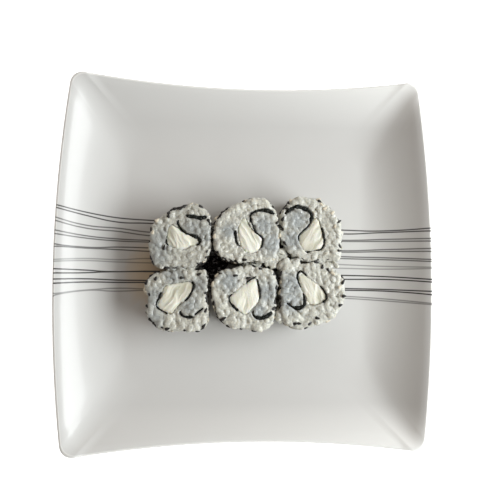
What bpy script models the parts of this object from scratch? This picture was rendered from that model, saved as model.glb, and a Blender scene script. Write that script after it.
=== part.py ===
"""Six inside-out sushi rolls, stood on their cut faces on a square porcelain plate.

Metres, +Z up. The origin is the middle of the plate's foot ring, on the table.
Each roll is sushi rice round a curled nori sheet, which wraps a cream cheese filling.
"""

import math

import bmesh
import bpy
from mathutils import Vector, noise

MM = 0.001
GAP = 0.3 * MM  # left between two pieces that touch

# Plate: half sizes at the rim's corners, how far the sides bow out there, and the flat well
RIM_HALF = (120.4 * MM, 129.1 * MM)
RIM_BOW = (9.5 * MM, -7.5 * MM)
RIM_CORNER = 10 * MM
RIM_HEIGHT_CORNER = 27 * MM
RIM_HEIGHT_MIDDLE = (24.5 * MM, 21.5 * MM)  # of the left and right sides, of the front and back
WELL_HALF = (82 * MM, 79 * MM)
WELL_CORNER = 20 * MM
WELL_TOP = 7.5 * MM
WALL_POWER = 1.9  # how late the wall steepens on its way out
WALL_THICK = 4.2 * MM
LIP_START = 0.93  # where the wall meets the lip, as a share of its way out
FOOT_OUTER, FOOT_INNER = 0.93, 0.875  # as shares of the well
FOOT_DRAFT = 0.012
SIDE_STEPS, CORNER_STEPS = 10, 4

# Rolls
SHEET_THICK = 0.8 * MM
SHEET_BELOW = 0.4 * MM  # the sheet ends just under the cut face
CUTTER_OVER = 2 * MM
LUMP_DEPTH = 0.7 * MM
LUMP_SIZE = 4 * MM
CHEESE_RIDGE = 0.5 * MM
CHEESE_PITCH = 3.4 * MM
# Height up the rice side as a share, and how far the side draws in there
RICE_LEVELS = ((0, 1.6), (0.06, 0.4), (0.28, 0), (0.52, 0.1), (0.76, 0), (0.94, 0.5), (1, 1.7))
# Share of the cheese outline, and height there over the cut face
CHEESE_LEVELS = ((1, -1.0), (0.93, -0.1), (0.72, 0.5), (0.42, 0.9))

# Each roll in millimetres about its own centre. Spokes are the rice's radii at 16 equal angles from
# +X, anticlockwise. Filling is the cheese outline, anticlockwise. The sheet runs in from its outer
# edge through its points, then along the filling from the first wrap index to the second.
ROLLS = {
    "a": {
        "centre": (-44.6, 14.5),
        "height": 26,
        "spokes": (19.4, 21, 24.4, 24.6, 21.4, 19.6, 19.4, 21.2, 20.4, 22.8, 25.2, 21.6, 19.8, 21, 22.2, 20.4),
        "filling": (
            (-9.9, -4.2), (-4.5, -6.6), (1, -8), (6.3, -5.6), (11.6, -4),
            (11.2, 0), (3, 2.8), (-3.6, 7), (-7.4, 9), (-9.4, 2.3),
        ),
        "sheet": ((16.4, 14), (12.5, 13.2), (8, 14), (3.4, 14.3), (-0.8, 12.2), (-2.6, 9.4)),
        "wrap": (6, -0.5),
        "ridges": -35,
    },
    "b": {
        "centre": (-0.5, 18.4),
        "height": 27,
        "spokes": (20.1, 21.3, 24.6, 25.2, 22.5, 20.5, 21.3, 22.8, 23.5, 24.9, 24.4, 21.6, 19.6, 21.6, 25.4, 22.2),
        "filling": (
            (-2.4, 10.4), (-5.4, 7.4), (-7.2, 1.5), (-6.6, -4), (-5.2, -9), (-1.5, -13.2),
            (3, -13.6), (7.8, -10.6), (9.5, -5), (7.2, -1.8), (2, 2.6),
        ),
        "sheet": ((17, 12.6), (12.6, 14.8), (6.4, 14.8), (1.6, 12.6), (1.2, 8.6)),
        "wrap": (9.5, 2),
        "ridges": -60,
    },
    "c": {
        "centre": (41.3, 20),
        "height": 26,
        "spokes": (21.4, 20.8, 20.4, 21.5, 22.3, 25.2, 23.7, 22.8, 21, 21, 21.2, 21.2, 20.8, 22.5, 27, 22.6),
        "filling": (
            (4, 9.6), (0.6, 6.6), (-2.4, 2.5), (-7.2, -1.6), (-8.6, -5.4), (-6.4, -11),
            (-3, -14), (2, -12.8), (7.2, -11.8), (9, -6), (7.2, 2.4),
        ),
        "sheet": ((-17.8, 11.2), (-14.2, 15.2), (-8.7, 16.8), (-3.6, 15.4), (0, 13), (0.6, 9.8)),
        "wrap": (1.5, 10),
        "ridges": 55,
    },
    "d": {
        "centre": (-46.2, -26.2),
        "height": 25,
        "spokes": (18.8, 21.2, 26, 21.6, 19.3, 20.7, 23.8, 24, 19.4, 22, 22.4, 21.6, 20, 22.2, 24.8, 21.8),
        "filling": (
            (10.2, 9.8), (6.6, 12.4), (-0.6, 11), (-7, 10.2), (-10, 7), (-11, 1.8),
            (-13.6, -3.8), (-9, -7.4), (-4.2, -9.4), (-1, -5), (4.6, -0.4), (7.6, 3.4),
        ),
        "sheet": ((16.4, -5.2), (12.2, -8.4), (8.6, -10.8), (4.6, -10.8), (1.6, -8.8)),
        "wrap": (9.5, 19.5),
        "ridges": 60,
    },
    "e": {
        "centre": (-1.9, -24),
        "height": 26,
        "spokes": (19.8, 22.8, 24.6, 21.8, 21.4, 21, 24, 24.4, 22.4, 22, 22.6, 22.2, 21, 24, 24.8, 21.4),
        "filling": (
            (6.4, 13.2), (0, 9.2), (-6, 4.6), (-10.2, 0), (-9.2, -4.2), (-5.2, -8.8),
            (0.2, -11.8), (3.9, -7.4), (8.2, -3.4), (9.2, 1.6), (8, 8),
        ),
        "sheet": ((17, -9.8), (13.6, -12.4), (9.8, -13.8), (6, -13), (4.4, -10.4)),
        "wrap": (7.5, 16),
        "ridges": 20,
    },
    "f": {
        "centre": (40.1, -21.6),
        "height": 27,
        "spokes": (24.4, 24.6, 22.9, 21, 20, 21.4, 27, 21, 19.6, 21.2, 25, 25.4, 22, 21.4, 22.9, 23.6),
        "filling": (
            (-6, 14.4), (-7.8, 10.3), (-6.4, 5.2), (-3.8, -0.8), (0.4, -7.4), (5.8, -7),
            (11.2, -3.6), (9.6, 2.2), (5, 6.4), (-1, 10.4),
        ),
        "sheet": ((-16.2, -5), (-12.6, -8.2), (-8, -9.6), (-4.4, -8.4), (-3.4, -5.4)),
        "wrap": (3, -4.5),
        "ridges": 100,
    },
}

COLOURS = {  # base colour, roughness
    "porcelain": ((0.80, 0.80, 0.77), 0.12),
    "rice": ((0.78, 0.78, 0.70), 0.45),
    "nori": ((0.012, 0.014, 0.009), 0.5),
    "cream-cheese": ((0.90, 0.85, 0.66), 0.4),
}


def clear_scene():
    for thing in list(bpy.data.objects):
        bpy.data.objects.remove(thing)


def make_collection(name):
    collection = bpy.data.collections.new(name)
    bpy.context.scene.collection.children.link(collection)
    return collection


def make_material(name):
    colour, roughness = COLOURS[name]
    material = bpy.data.materials.new(name)
    material.use_nodes = True
    shader = material.node_tree.nodes["Principled BSDF"]
    shader.inputs["Base Color"].default_value = (*colour, 1)
    shader.inputs["Roughness"].default_value = roughness
    shader.inputs["Metallic"].default_value = 0
    return material


def add_object(name, mesh_builder, collection, material=None):
    """An object whose mesh is taken from the bmesh, which is freed."""
    mesh = bpy.data.meshes.new(name)
    bmesh.ops.recalc_face_normals(mesh_builder, faces=mesh_builder.faces[:])
    mesh_builder.to_mesh(mesh)
    mesh_builder.free()
    made = bpy.data.objects.new(name, mesh)
    collection.objects.link(made)
    if material:
        mesh.materials.append(material)
        mesh.shade_smooth()
        mesh.set_sharp_from_angle(angle=math.radians(50))
    else:
        made.hide_render = True
        made.display_type = "WIRE"
    return made


def loft(rings):
    """A closed body through rings of equally many points, with a flat cap at each end."""
    builder = bmesh.new()
    rows = [[builder.verts.new(point) for point in ring] for ring in rings]
    for lower, upper in zip(rows, rows[1:]):
        for i in range(len(lower)):
            builder.faces.new((lower[i - 1], lower[i], upper[i], upper[i - 1]))
    builder.faces.new(rows[0])
    builder.faces.new(rows[-1])
    return builder


def curve_point(points, index):
    """The point at a whole or part index of the closed Catmull-Rom curve through the points."""
    count = len(points)
    whole = math.floor(index)
    part = index - whole
    before, start, end, after = (Vector(points[(whole + step) % count]) for step in (-1, 0, 1, 2))
    return 0.5 * (
        2 * start
        + (end - before) * part
        + (2 * before - 5 * start + 4 * end - after) * part**2
        + (3 * start - before - 3 * end + after) * part**3
    )


def closed_curve(points, steps):
    return [curve_point(points, i / steps) for i in range(len(points) * steps)]


def open_curve(points, steps):
    """The same curve through the points from the first to the last, with its ends run straight on."""
    first, last = Vector(points[0]), Vector(points[-1])
    reach = [*points, 2 * last - Vector(points[-2]), 2 * first - Vector(points[1])]
    return [curve_point(reach, i / steps) for i in range((len(points) - 1) * steps + 1)]


def side_point(side, share, half, bow):
    """A point on one of the plate's four sides. The share runs from -1 to 1 along it."""
    lift = 1 - share**2
    right = (half[0] + bow[0] * lift, half[1] * share)
    back = (-half[0] * share, half[1] + bow[1] * lift)
    x, y = right if side % 2 == 0 else back
    return Vector((x, y)) if side < 2 else Vector((-x, -y))


def plate_outline(half, bow, corner):
    """Points round the plate, each with its share along the side, which is 1 in the corners."""
    outline = []
    for side in range(4):
        along, across = (half[1], half[0]) if side % 2 == 0 else (half[0], half[1])
        reach = 1 - corner / along
        for i in range(SIDE_STEPS + 1):
            share = reach * (2 * i / SIDE_STEPS - 1)
            outline.append((side_point(side, share, half, bow), side % 2, share))
        start = side_point(side, reach, half, bow)
        tip = side_point(side, 1, half, bow)
        end = side_point((side + 1) % 4, corner / across - 1, half, bow)
        for i in range(1, CORNER_STEPS):
            part = i / CORNER_STEPS
            bend = start * (1 - part) ** 2 + tip * 2 * part * (1 - part) + end * part**2
            outline.append((bend, side % 2, 1))
    return outline


def make_plate(collection, material):
    well = plate_outline(WELL_HALF, (0, 0), WELL_CORNER)
    rim = plate_outline(RIM_HALF, RIM_BOW, RIM_CORNER)

    def ring(share, rise, drop):
        """Points at a share of the way out to the rim, and at a share of its height less the drop."""
        points = []
        for (inner, _, _), (outer, axis, along) in zip(well, rim):
            middle = RIM_HEIGHT_MIDDLE[axis]
            top = middle + (RIM_HEIGHT_CORNER - middle) * along**2
            spot = inner.lerp(outer, share)
            points.append((spot.x, spot.y, WELL_TOP + (top - WELL_TOP) * rise - drop))
        return points

    def foot_ring(share, height):
        return [(spot.x * share, spot.y * share, height) for spot, _, _ in well]

    def climb(share):
        return (share / LIP_START) ** WALL_POWER

    wall = [LIP_START * i / 6 for i in range(7)]
    rings = [ring(share, climb(share), 0) for share in wall]
    rings += [ring(share, 1, drop * MM) for share, drop in ((0.962, -0.5), (0.99, 0), (1, 1.4), (0.985, 3.2))]
    rings += [ring(share, climb(share), WALL_THICK) for share in reversed(wall[:-1])]
    under = WELL_TOP - WALL_THICK
    rings += [foot_ring(FOOT_OUTER + FOOT_DRAFT, under), foot_ring(FOOT_OUTER, 0)]
    rings += [foot_ring(FOOT_INNER, 0), foot_ring(FOOT_INNER - FOOT_DRAFT, under)]
    return add_object("plate", loft(rings), collection, material)


def grown(outline, distance):
    """An anticlockwise outline moved out by a distance, or in by a negative one."""
    moved = []
    for i, spot in enumerate(outline):
        ahead = (outline[(i + 1) % len(outline)] - spot).normalized()
        behind = (spot - outline[i - 1]).normalized()
        outward = Vector((ahead.y + behind.y, -ahead.x - behind.x)).normalized()
        slack = max(0.5, outward.dot((ahead.y, -ahead.x)))
        moved.append(spot + outward * distance / slack)
    return moved


def sheet_route(roll):
    """The nori sheet's way, seen from above: its free stretch, then its wrap round the filling."""
    start, end = roll["wrap"]
    halves = round(2 * abs(end - start))
    wrap = [curve_point(roll["filling"], start + (end - start) * i / halves) for i in range(halves + 1)]
    free = open_curve([*map(Vector, roll["sheet"]), wrap[0], wrap[2]], 2)
    return free[:-3] + wrap


def make_strip(name, roll, low, high, thickness, collection, material=None):
    """The sheet as an upright strip along its route, given its thickness by Solidify."""
    centre = Vector(roll["centre"])
    builder = bmesh.new()
    rows = []
    for spot in sheet_route(roll):
        x, y = (centre + spot) * MM
        rows.append([builder.verts.new((x, y, z)) for z in (low, high)])
    for before, after in zip(rows, rows[1:]):
        builder.faces.new((before[0], after[0], after[1], before[1]))
    made = add_object(name, builder, collection, material)
    solidify = made.modifiers.new("thickness", "SOLIDIFY")
    solidify.thickness = thickness
    solidify.offset = 0
    solidify.use_even_offset = True
    return made


def make_rice(name, roll, low, high, collection, material):
    centre = Vector(roll["centre"])
    corners = [
        Vector((math.cos(turn), math.sin(turn))) * spoke
        for turn, spoke in ((math.tau * i / 16, spoke) for i, spoke in enumerate(roll["spokes"]))
    ]
    rings = []
    for share, inset in RICE_LEVELS:
        z = low + (high - low) * share
        ring = []
        for spot in closed_curve(corners, 3):
            place = (centre + spot) * MM
            lump = LUMP_DEPTH * (0.5 + 0.5 * noise.noise(Vector((*place, z)) / LUMP_SIZE))
            inward = spot.normalized() * (inset * MM + lump)
            x, y = place - inward
            ring.append((x, y, z))
        rings.append(ring)
    return add_object(name, loft(rings), collection, material)


def make_cheese(name, roll, low, high, collection, material):
    """The filling, with a domed and ridged top."""
    outline = grown(closed_curve(roll["filling"], 2), -(SHEET_THICK / 2 + GAP) / MM)
    centre, middle = Vector(roll["centre"]), sum(outline, Vector((0, 0))) / len(outline)
    slant = math.radians(roll["ridges"])
    across = Vector((-math.sin(slant), math.cos(slant)))
    rings = [[(*((centre + spot) * MM), low) for spot in outline]]
    for share, rise in CHEESE_LEVELS:
        ring = []
        for spot in outline:
            x, y = (centre + middle.lerp(spot, share)) * MM
            ridge = CHEESE_RIDGE * math.cos(math.tau * across.dot((x, y)) / CHEESE_PITCH)
            ring.append((x, y, high + rise * MM + (ridge if share < 0.9 else 0)))
        rings.append(ring)
    return add_object(name, loft(rings), collection, material)


def make_filling_cutter(name, roll, low, high, collection):
    """The hollow in the rice: the filling's outline, which the sheet follows."""
    centre = Vector(roll["centre"])
    outline = [(centre + spot) * MM for spot in closed_curve(roll["filling"], 2)]
    return add_object(name, loft([[(*spot, z) for spot in outline] for z in (low, high)]), collection)


def cut(piece, cutter):
    boolean = piece.modifiers.new("cut " + cutter.name, "BOOLEAN")
    boolean.operation = "DIFFERENCE"
    boolean.solver = "EXACT"
    boolean.object = cutter


def make_roll(letter, roll, parts, cutters, materials):
    low = WELL_TOP + GAP
    high = low + roll["height"] * MM
    over, under = high + CUTTER_OVER, low - CUTTER_OVER
    rice = make_rice("rice-" + letter, roll, low, high, parts, materials["rice"])
    make_cheese("cream-cheese-" + letter, roll, low, high, parts, materials["cream-cheese"])
    make_strip(
        "nori-" + letter, roll, low, high - SHEET_BELOW, SHEET_THICK, parts, materials["nori"]
    )
    slot = make_strip("slot-" + letter, roll, under, over, SHEET_THICK + 2 * GAP, cutters)
    hollow = make_filling_cutter("hollow-" + letter, roll, under, over, cutters)
    cut(rice, slot)
    cut(rice, hollow)


def main():
    clear_scene()
    parts = make_collection("sushi plate")
    cutters = make_collection("cutters")
    materials = {name: make_material(name) for name in COLOURS}
    make_plate(parts, materials["porcelain"])
    for letter, roll in ROLLS.items():
        make_roll(letter, roll, parts, cutters, materials)


main()
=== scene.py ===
# Six inside-out sushi rolls on a square glazed plate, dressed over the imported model.
import math

import bpy
import numpy as np
from mathutils import Matrix, Vector, noise


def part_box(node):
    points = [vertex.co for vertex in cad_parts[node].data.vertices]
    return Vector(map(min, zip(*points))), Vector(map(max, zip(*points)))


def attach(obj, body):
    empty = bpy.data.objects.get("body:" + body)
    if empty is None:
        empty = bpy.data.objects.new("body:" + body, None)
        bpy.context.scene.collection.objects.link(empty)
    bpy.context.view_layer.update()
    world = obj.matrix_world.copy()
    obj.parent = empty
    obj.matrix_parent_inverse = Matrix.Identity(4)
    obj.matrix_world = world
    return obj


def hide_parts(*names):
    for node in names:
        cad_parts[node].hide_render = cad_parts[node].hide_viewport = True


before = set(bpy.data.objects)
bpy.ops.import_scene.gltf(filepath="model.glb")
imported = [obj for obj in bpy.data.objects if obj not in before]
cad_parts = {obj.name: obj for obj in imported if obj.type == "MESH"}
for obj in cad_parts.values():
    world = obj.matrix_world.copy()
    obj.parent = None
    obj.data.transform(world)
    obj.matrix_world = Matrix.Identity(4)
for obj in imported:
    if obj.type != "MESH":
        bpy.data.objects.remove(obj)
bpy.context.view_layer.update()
mm = 0.001
body = "root"
print("frame loaded, nodes:", len(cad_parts))


# helpers shared by every piece

def addPiece(name, points, faces, material, smooth=True):
    # a mesh object from point and face lists, or from arrays when every face has the same corner count
    mesh = bpy.data.meshes.new(name)
    points, corners = np.asarray(points, np.float32), len(faces[0])
    faces = np.asarray(faces, np.int32)
    mesh.vertices.add(len(points))
    mesh.vertices.foreach_set("co", points.ravel())
    mesh.loops.add(faces.size)
    mesh.loops.foreach_set("vertex_index", faces.ravel())
    mesh.polygons.add(len(faces))
    mesh.polygons.foreach_set("loop_start", np.arange(0, faces.size, corners, dtype=np.int32))
    mesh.update(calc_edges=True)
    mesh.validate()
    if smooth:
        mesh.shade_smooth()
    mesh.materials.append(material)
    piece = bpy.data.objects.new(name, mesh)
    bpy.context.scene.collection.objects.link(piece)
    return piece


def addShade(piece, share, name="shade"):
    # a share on each point, which the finish reads by its name
    piece.data.attributes.new(name, "FLOAT", "POINT").data.foreach_set("value", share.astype(np.float32))


def dress(piece, slotName, *nodes):
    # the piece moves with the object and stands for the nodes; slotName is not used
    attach(piece, body)
    if nodes:
        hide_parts(*nodes)
    return piece


def loftFaces(rows, around):
    # quads between closed rows of points, split in triangles
    faces = []
    for row in range(rows - 1):
        for i in range(around):
            a, b = row * around + i, row * around + (i + 1) % around
            faces += [(a, b, b + around), (a, b + around, a + around)]
    return faces


def fanFaces(start, around, tip, flip=False):
    # triangles from one row of points to a tip
    pairs = [(start + i, start + (i + 1) % around) for i in range(around)]
    return [(b, a, tip) if flip else (a, b, tip) for a, b in pairs]


def curvePoints(points, indices):
    # points of the closed Catmull-Rom curve through the given ones, at whole or part indices
    points, indices = np.asarray(points, float), np.asarray(indices, float)
    whole = np.floor(indices).astype(int)
    part = (indices - whole)[:, None]
    before, start, end, after = (points[(whole + step) % len(points)] for step in (-1, 0, 1, 2))
    return 0.5 * (2 * start + (end - before) * part
                  + (2 * before - 5 * start + 4 * end - after) * part**2
                  + (3 * start - before - 3 * end + after) * part**3)


def evenly(path, step, closed=False):
    # the same path with its points a fixed step apart
    path = np.vstack([path, path[:1]]) if closed else np.asarray(path)
    gone = np.concatenate([[0], np.cumsum(np.linalg.norm(np.diff(path, axis=0), axis=1))])
    count = max(2, round(gone[-1] / step))
    marks = np.linspace(0, gone[-1], count + 1)[: count if closed else count + 1]
    return np.column_stack([np.interp(marks, gone, path[:, axis]) for axis in range(path.shape[1])])


def outwardNormals(path, closed=True):
    # unit normals to the right of a plan path, which is outward on an anticlockwise outline
    along = np.roll(path, -1, 0) - np.roll(path, 1, 0) if closed else np.gradient(path, axis=0)
    along /= np.linalg.norm(along, axis=1, keepdims=True)
    return np.column_stack([along[:, 1], -along[:, 0]])


def nearest(path, spots, closed=True):
    # for each spot: its distance to a plan path, the place along it, the foot on it and the side, 1 for left
    ends = np.roll(path, -1, 0) if closed else path[1:]
    starts = path if closed else path[:-1]
    run = ends - starts
    square = np.maximum((run**2).sum(1), 1e-18)
    found = []
    for chunk in np.array_split(spots, len(spots) // 3000 + 1):  # in parts, to spare memory
        away = chunk[:, None] - starts
        share = np.clip((away * run).sum(2) / square, 0, 1)
        gap = np.linalg.norm(away - share[..., None] * run, axis=2)
        rows, best = np.arange(len(chunk)), gap.argmin(1)
        share, away, line = share[rows, best], away[rows, best], run[best]
        left = np.sign(line[:, 0] * away[:, 1] - line[:, 1] * away[:, 0])
        found.append(np.column_stack([gap[rows, best], best + share, starts[best] + line * share[:, None], left]))
    found = np.vstack(found)
    return found[:, 0], found[:, 1], found[:, 2:4], found[:, 4]


def inside(path, spots):
    # whether each spot lies inside a closed plan outline
    x, y = spots[:, :1], spots[:, 1:]
    ax, ay = path.T
    bx, by = np.roll(path, -1, 0).T
    rising = (ay > y) != (by > y)
    crossing = x < (bx - ax) * (y - ay) / np.where(by == ay, 1e-12, by - ay) + ax
    return (rising & crossing).sum(1) % 2 == 1


# one noise pattern and one run of random draws for each use
patterns = {"cut": 2, "edge": 3, "uneven": 5, "torn": 6, "crinkle": 7, "ragged": 9, "sway": 11, "mush": 13}
firstDraws = {"rice": 40, "sesame": 90, "gapShadeSeeds": 7}


def wobble(spots, size, seed=0.0):
    # smooth noise from -1 to 1 at each plan or space spot, with features of the given size; seed picks the pattern
    shift = Vector((seed, -seed, 2 * seed))
    return np.array([noise.noise(Vector((*spot, 0)[:3]) / size + shift) for spot in spots])


def scatter(draw, accept, spacing, tries, dice):
    # dart throwing: spots from draw that pass accept and keep their spacing
    kept = np.empty((0, len(draw(dice))))
    for _ in range(tries):
        spot = draw(dice)
        if len(kept) and (np.linalg.norm(kept[:, :2] - spot[:2], axis=1) < spacing).any():
            continue
        if accept(spot):
            kept = np.vstack([kept, spot])
    return kept


# shared shader nodes

def put(tree, kind, inputs=None, **settings):
    # adds a node, sets its own settings, and fills inputs with values or links them to sockets
    made = tree.nodes.new("ShaderNode" + kind)
    for name, value in settings.items():
        setattr(made, name, value)
    for key, value in (inputs or {}).items():
        socket = made.inputs[key]
        if isinstance(value, bpy.types.NodeSocket):
            tree.links.new(value, socket)
        else:
            socket.default_value = value
    return made


def math2(tree, operation, a, b=0.5, clamp=False):
    return put(tree, "Math", {0: a, 1: b}, operation=operation, use_clamp=clamp).outputs[0]


def newGroup(name, ins, outs):
    group = bpy.data.node_groups.new(name, "ShaderNodeTree")
    for label, kind, value in ins:
        socket = group.interface.new_socket(label, in_out="INPUT", socket_type="NodeSocket" + kind)
        socket.default_value = value
    for label, kind in outs:
        group.interface.new_socket(label, in_out="OUTPUT", socket_type="NodeSocket" + kind)
    return group, group.nodes.new("NodeGroupInput").outputs, group.nodes.new("NodeGroupOutput").inputs


def mixTones(tree, share, below, above):
    return put(tree, "Mix", {"Factor": share, "A": below, "B": above}, data_type="RGBA").outputs["Result"]


def pointShare(tree, name):
    # a share that the mesh's points carry
    return put(tree, "Attribute", attribute_name=name).outputs["Fac"]


def makeMottle():
    # soft uneven tone: two colours mixed by cloudy noise in the object's own space
    group, given, result = newGroup(
        "mottle",
        [("Light", "Color", (1, 1, 1, 1)), ("Dark", "Color", (0, 0, 0, 1)),
         ("Scale", "Float", 100.0), ("Spread", "Float", 0.5)],
        [("Color", "Color")])
    place = put(group, "TexCoord").outputs["Object"]
    cloud = put(group, "TexNoise", {"Vector": place, "Scale": given["Scale"], "Detail": 4.0}).outputs["Fac"]
    spread = math2(group, "DIVIDE", math2(group, "SUBTRACT", cloud, 0.5), given["Spread"])
    mask = math2(group, "ADD", spread, 0.5, clamp=True)
    group.links.new(mixTones(group, mask, given["Dark"], given["Light"]), result["Color"])
    return group


def makeRelief():
    # fine relief as a height: noise, which stretch draws out along Z
    group, given, result = newGroup(
        "relief",
        [("Scale", "Float", 500.0), ("Stretch", "Float", 1.0), ("Detail", "Float", 4.0)],
        [("Height", "Float")])
    place = put(group, "TexCoord").outputs["Object"]
    drawn = put(group, "CombineXYZ", {0: 1.0, 1: 1.0, 2: given["Stretch"]}).outputs[0]
    scaled = put(group, "VectorMath", {0: place, 1: drawn}, operation="MULTIPLY").outputs[0]
    grain = put(group, "TexNoise", {"Vector": scaled, "Scale": given["Scale"], "Detail": given["Detail"]})
    group.links.new(grain.outputs["Fac"], result["Height"])
    return group


mottle, relief = makeMottle(), makeRelief()


def useGroup(tree, group, inputs):
    return put(tree, "Group", inputs, node_tree=group).outputs


def makeFinish(name, given, **masks):
    # a Principled material: a mottled tone, tones laid over it by masks or point shares, and fine relief
    material = bpy.data.materials.new(name)
    material.use_nodes = True
    tree = material.node_tree
    shader = tree.nodes["Principled BSDF"]
    for label, value in given["surface"].items():
        shader.inputs[label].default_value = value
    tone = useGroup(tree, mottle, given["tones"])["Color"]
    for layer, colour in given.get("layers", {}).items():
        share = masks[layer](tree) if layer in masks else pointShare(tree, layer)
        tone = mixTones(tree, share, tone, colour)
    tree.links.new(tone, shader.inputs["Base Color"])
    if "relief" in given:
        height = useGroup(tree, relief, given["relief"])["Height"]
        bump = put(tree, "Bump", {"Height": height, "Distance": given["depth"], "Strength": 1.0})
        tree.links.new(bump.outputs["Normal"], shader.inputs["Normal"])
    return material


print("shared nodes made")


# plate: the same section as the model's, at a finer step

plateSize = {  # millimetres
    "rimHalf": (120.4, 129.1),
    "rimBow": (9.5, -7.5),
    "rimCorner": 10,
    "rimHeightCorner": 27,
    "rimHeightMiddle": (24.5, 21.5),
    "wellHalf": (82, 79),
    "wellCorner": 20,
    "wellTop": 7.5,
    "wellSink": 0.25,
    "wellRings": (0.08, 0.2, 0.35, 0.5, 0.62, 0.74, 0.84, 0.92),
    "wallPower": 1.9,
    "wallEase": (0.86, 0.95, 0.5),  # from and to a share of the way up, and how much flatter
    "wallThick": 4.2,
    "lipStart": 0.945,
    # shares of the way from the well to the rim, with the drop below the rim's height
    "lip": ((0.953, -0.15), (0.961, -0.2), (0.97, -0.05), (0.98, 0.35), (0.989, 0.9), (0.996, 1.7), (1, 2.5),
            (0.998, 3.3), (0.989, 4)),
    "lipPrinted": 3,  # rings of the lip that the printed lines reach
    "footOuter": 0.93,
    "footInner": 0.875,
    "footDraft": 0.012,
    "footRound": 0.3,
    "footLow": ((0.3, 0.8), (0, 0.25)),  # shares of the draft, and heights
    "footBevel": 0.004,
    "underRings": (0.7, 0.4, 0.1),
    "profileSteps": 200,
    "sideSteps": 40,
    "cornerSteps": 12,
    "wallSteps": 24,
}

paintedPlateLight = {  # millimetres: painted light: the glaze is painted paler near the front and back rims, more so to the right where the light comes from, and on the lip as a painted highlight
    "paintedLightFrom": 98,
    "paintedLightOver": 24,
    "paintedLightMiddle": 0.65,
    "paintedLightAcross": 260,
    # a painted warm shadow on the glaze left of the rolls, where their shadow falls
    "paintedShadow": {"middle": (-66, -8), "reach": (20, 24), "most": 0.75, "fade": 0.7},
}

glaze = {
    "surface": {"Roughness": 0.25, "IOR": 1.5, "Specular IOR Level": 0.25, "Coat Weight": 0.22,
                "Coat Roughness": 0.08},
    "tones": {"Light": (0.63, 0.628, 0.608, 1), "Dark": (0.61, 0.608, 0.588, 1), "Scale": 14.0, "Spread": 0.6},
    # the first layer is painted light, paler near the front and back rims and on the lip; the second a painted warm
    # shadow left of the rolls; the third the printed lines
    "layers": {"shade": (0.82, 0.82, 0.79, 1), "paintedShadow": (0.60, 0.46, 0.28, 1), "lines": (0.06, 0.058, 0.055, 1)},
    "relief": {"Scale": 60.0, "Detail": 1.0},
    "depth": 0.00004,
}

printLines = {  # millimetres: pairs of thin lines that run left to right
    "stations": (-128, -110, -90, -70, 70, 100, 128),
    "width": 0.92,
    "soft": 0.3,
    "middleMost": 40,
    "gapMost": 2,
    "pairs": (  # the pair's middle and its half gap at each station, and its strength
        ((35.5, 31.8, 28.8, 28, 22.5, 22.8, 23.2), (0.9, 1.1, 1.5, 1.1, 1.4, 0.6, 1), 0.95),
        ((27, 23, 21.9, 19.5, 16.1, 16.5, 16), (1.1, 1, 1.1, 1.2, 0.4, 0.7, 0.9), 0.78),
        ((18.3, 16, 14.8, 14.2, 8.4, 9.1, 8.9), (1.2, 0.8, 0.7, 0.6, 0.5, 0.7, 1), 0.8),
        ((9.5, 8.7, 8.9, 8.3, 3.9, 3.2, 1.5), (0.8, 0.3, 0.9, 1.2, 0.7, 0.7, 0.7), 0.82),
        ((-0.6, 0.6, 0.2, 0.5, -2.5, -3.3, -3.6), (0.6, 0.7, 0.8, 1.5, 1.3, 1, 0.4), 0.5),
        ((-7.5, -7.5, -7.4, -7, -10.3, -10.7, -12.6), (1.4, 0.9, 0, 0.1, 1.4, 1, 0.9), 1.0),
        ((-14.3, -13.6, -14, -14.1, -18.9, -19.5, -21.1), (1.4, 1.1, 0.8, 0.7, 0.6, 0.6, 1.2), 1.0),
        ((-23.1, -20.3, -19.9, -19.8, -24.6, -26.4, -28.7), (0.9, 0.1, 1, 0.5, 0.7, 0.7, 0.4), 0.6),
    ),
}


def plateSide(side, share, half, bow):
    lift = 1 - share**2
    if side % 2 == 0:
        spot = (half[0] + bow[0] * lift, half[1] * share)
    else:
        spot = (-half[0] * share, half[1] + bow[1] * lift)
    return np.array(spot) * (1 if side < 2 else -1)


def plateOutline(half, bow, corner):
    # points round the plate, and for each its side's axis and its share along that side
    spots, sides = [], []
    for side in range(4):
        along, across = (half[1], half[0]) if side % 2 == 0 else (half[0], half[1])
        reach = 1 - corner / along
        for i in range(plateSize["sideSteps"] + 1):
            share = reach * (2 * i / plateSize["sideSteps"] - 1)
            spots.append(plateSide(side, share, half, bow))
            sides.append((side % 2, share))
        start, tip = plateSide(side, reach, half, bow), plateSide(side, 1, half, bow)
        end = plateSide((side + 1) % 4, corner / across - 1, half, bow)
        for i in range(1, plateSize["cornerSteps"]):
            part = i / plateSize["cornerSteps"]
            spots.append(start * (1 - part) ** 2 + tip * 2 * part * (1 - part) + end * part**2)
            sides.append((side % 2, 1))
    return np.array(spots), sides


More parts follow.
